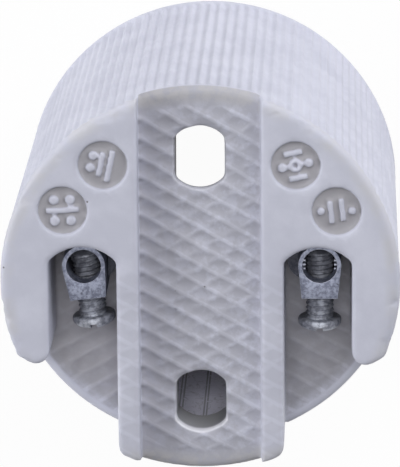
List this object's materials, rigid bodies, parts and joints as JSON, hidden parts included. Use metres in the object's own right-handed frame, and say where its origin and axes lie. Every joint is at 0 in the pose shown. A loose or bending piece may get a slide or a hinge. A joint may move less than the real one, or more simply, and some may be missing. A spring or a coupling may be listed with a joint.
{
  "type": "ceramic lamp holder",
  "caption": "Fluted porcelain screw lamp holder with a rear mounting channel, rear terminals with clamp screws and a rolled screw shell.",
  "frame": {"origin": "centre of the mouth rim's plane, on the body's axis", "axes": "+Z along the body's axis from the mouth to the rear, +Y towards the closed end of the terminal pockets"},
  "size_m": [0.042, 0.042, 0.043],
  "materials": {
    "porcelain": "matt unglazed porcelain",
    "shell_metal": "rolled plated sheet",
    "zinc": "dull zinc plate",
    "spring_metal": "bare spring bronze"
  },
  "bodies": {
    "holder": {"ceramic_body": "porcelain", "screw_shell": "shell_metal", "neutral_terminal": "zinc", "line_terminal": "zinc", "neutral_fixing_screw": "zinc", "line_fixing_screw": "zinc"},
    "contact": {"centre_contact": "spring_metal"},
    "neutral_clamp": {"neutral_clamp_screw": "zinc"},
    "line_clamp": {"line_clamp_screw": "zinc"}
  },
  "joints": [
    {"name": "contact_flex", "type": "hinge", "parent": "holder", "child": "contact", "pos_m": [-0.0112, 0, 0.02885], "axis": [0, -1, 0], "range_deg": [0, 6], "stiffness_Nm_per_rad": 0.5},
    {"name": "neutral_clamp_travel", "type": "slide", "parent": "holder", "child": "neutral_clamp", "axis": [0, 1, 0], "range_m": [-0.0025, 0.0003]},
    {"name": "line_clamp_travel", "type": "slide", "parent": "holder", "child": "line_clamp", "axis": [-0.1219, 0.9925, 0], "range_m": [-0.0022, 0.0003]}
  ]
}
